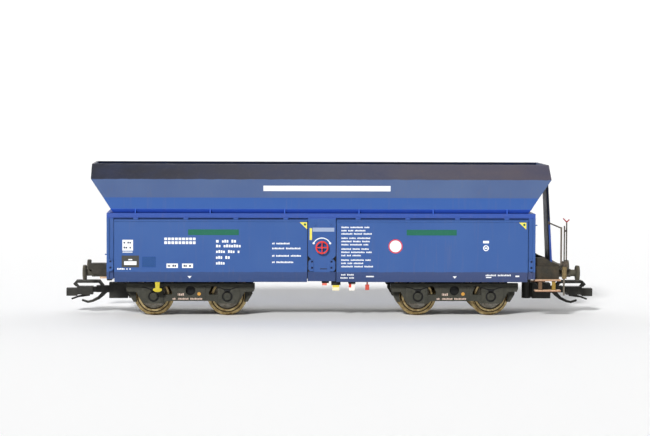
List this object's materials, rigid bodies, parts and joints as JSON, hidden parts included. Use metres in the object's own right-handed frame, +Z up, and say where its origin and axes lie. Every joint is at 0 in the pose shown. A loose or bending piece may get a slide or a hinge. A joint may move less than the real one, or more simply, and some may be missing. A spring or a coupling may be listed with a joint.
{
  "type": "1:120 scale model of an open bogie hopper wagon with side discharge flaps",
  "caption": "Small-scale model of an open bogie hopper wagon: flared hopper, side flaps, swivelling bogies, free-turning wheelsets, swinging couplers, buffers and a brake platform.",
  "frame": {"origin": "bottom centre of the whole model's box: midway between the coupler tips, on the wagon's middle plane, at the lowest point of the wheel flanges", "axes": "+X along the wagon towards the brake platform, +Y to the far side, +Z up"},
  "size_m": [0.1096, 0.0262, 0.0312],
  "materials": {
    "body_blue": "satin blue moulded plastic, lightly dusted",
    "pillar_blue": "satin dark blue moulded plastic",
    "frame_grey": "matt dark brown-grey moulded plastic",
    "bogie_grey": "matt dark grey moulded plastic",
    "coupler_black": "satin black moulded plastic",
    "wheel_dark": "turned blackened metal with a brassy tread",
    "bright_metal": "turned steel",
    "signal_red": "satin red",
    "lever_yellow": "satin yellow",
    "step_copper": "satin copper-brown paint"
  },
  "bodies": {
    "wagon_body": {"underframe": "frame_grey", "saddle_webs": "frame_grey", "flap_shafts": "frame_grey", "coupler_pins": "frame_grey", "headstock_plain": "frame_grey", "headstock_brake": "frame_grey", "buffers": "frame_grey", "lamp_box": "frame_grey", "pivot_screws": "bright_metal", "air_reservoir": "frame_grey", "brake_cylinder": "frame_grey", "saddle_floor": "body_blue", "hopper_side_near": "body_blue", "hopper_side_far": "body_blue", "hopper_end_plain": "body_blue", "hopper_end_brake": "body_blue", "chord_near": "body_blue", "chord_far": "body_blue", "end_frame_plain": "body_blue", "end_frame_brake": "body_blue", "flap_near_plain": "body_blue", "flap_near_brake": "body_blue", "flap_far_plain": "body_blue", "flap_far_brake": "body_blue", "post_near_plain": "body_blue", "post_near_brake": "body_blue", "post_far_plain": "body_blue", "post_far_brake": "body_blue", "centre_panel_near": "body_blue", "centre_panel_far": "body_blue", "handwheel_near": "signal_red", "handwheel_far": "signal_red", "platform_deck": "frame_grey", "end_pillar": "pillar_blue", "platform_railing": "frame_grey", "handbrake_column": "frame_grey", "platform_steps_near": "step_copper", "platform_steps_far": "step_copper", "brake_levers_near": "lever_yellow", "brake_levers_far": "lever_yellow", "drag_shoe": "lever_yellow"},
    "bogie_plain": {"bogie_frame_plain": "bogie_grey", "axleboxes_plain": "bogie_grey", "brake_shoes_plain": "bogie_grey"},
    "wheelset_1": {"wheels_1": "wheel_dark", "axle_1": "bright_metal"},
    "wheelset_2": {"wheels_2": "wheel_dark", "axle_2": "bright_metal"},
    "bogie_brake": {"bogie_frame_brake": "bogie_grey", "axleboxes_brake": "bogie_grey", "brake_shoes_brake": "bogie_grey"},
    "wheelset_3": {"wheels_3": "wheel_dark", "axle_3": "bright_metal"},
    "wheelset_4": {"wheels_4": "wheel_dark", "axle_4": "bright_metal"},
    "coupler_plain": {"coupler_pocket_plain": "coupler_black", "coupler_head_plain": "coupler_black"},
    "coupler_brake": {"coupler_pocket_brake": "coupler_black", "coupler_head_brake": "coupler_black"}
  },
  "joints": [
    {"name": "bogie_turn_plain", "type": "hinge", "parent": "wagon_body", "child": "bogie_plain", "pos_m": [-0.029, 0, 0.005], "axis": [0, 0, 1], "range_deg": [-8, 8]},
    {"name": "wheelset_spin_1", "type": "hinge", "parent": "bogie_plain", "child": "wheelset_1", "pos_m": [-0.0365, 0, 0.00415], "axis": [0, 1, 0], "continuous": true},
    {"name": "wheelset_spin_2", "type": "hinge", "parent": "bogie_plain", "child": "wheelset_2", "pos_m": [-0.0215, 0, 0.00415], "axis": [0, 1, 0], "continuous": true},
    {"name": "bogie_turn_brake", "type": "hinge", "parent": "wagon_body", "child": "bogie_brake", "pos_m": [0.025, 0, 0.005], "axis": [0, 0, 1], "range_deg": [-8, 8]},
    {"name": "wheelset_spin_3", "type": "hinge", "parent": "bogie_brake", "child": "wheelset_3", "pos_m": [0.0175, 0, 0.00415], "axis": [0, 1, 0], "continuous": true},
    {"name": "wheelset_spin_4", "type": "hinge", "parent": "bogie_brake", "child": "wheelset_4", "pos_m": [0.0325, 0, 0.00415], "axis": [0, 1, 0], "continuous": true},
    {"name": "coupler_swing_plain", "type": "hinge", "parent": "wagon_body", "child": "coupler_plain", "pos_m": [-0.041, 0, 0.006], "axis": [0, 0, 1], "range_deg": [-12, 12]},
    {"name": "coupler_swing_brake", "type": "hinge", "parent": "wagon_body", "child": "coupler_brake", "pos_m": [0.041, 0, 0.006], "axis": [0, 0, 1], "range_deg": [-12, 12]}
  ]
}
